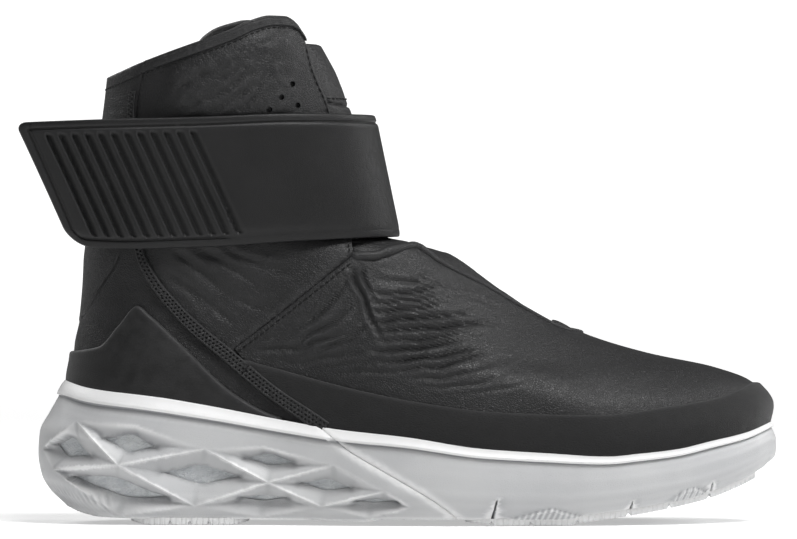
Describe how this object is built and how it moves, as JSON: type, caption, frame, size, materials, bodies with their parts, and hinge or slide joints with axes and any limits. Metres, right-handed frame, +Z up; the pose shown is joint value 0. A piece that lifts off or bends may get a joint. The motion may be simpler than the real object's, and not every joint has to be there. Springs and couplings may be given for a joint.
{
  "type": "sneaker boot",
  "caption": "Laceless right high-top sneaker with a wide moulded ankle strap and a lattice-sided cup sole.",
  "frame": {"origin": "middle of the heel tread's flat rest, on the floor", "axes": "+X from heel to toe, -Y towards the outer side of this right shoe, +Z up"},
  "size_m": [0.3078, 0.115, 0.2052],
  "materials": {
    "black_leather": "soft full-grain black leather, satin, fine wrinkles",
    "black_nubuck": "matte black nubuck with a short nap",
    "black_lining": "matte black knitted lining",
    "moulded_rubber": "smooth satin black moulded rubber",
    "white_rubber": "matte off-white moulded rubber",
    "grey_foam": "light grey foam with a creased skin"
  },
  "bodies": {
    "root": {"upper": "black_leather", "tongue": "black_leather", "quarter_strip_outer": "black_leather", "quarter_strip_inner": "black_leather", "throat_tab": "black_leather", "mudguard": "black_nubuck", "heel_counter": "black_nubuck", "collar_lining": "black_lining", "insole": "black_lining", "strap": "moulded_rubber", "heel_cage": "white_rubber", "forefoot_cup": "white_rubber", "tread_heel": "white_rubber", "tread_forefoot": "white_rubber", "midsole_core": "grey_foam"}
  },
  "joints": []
}
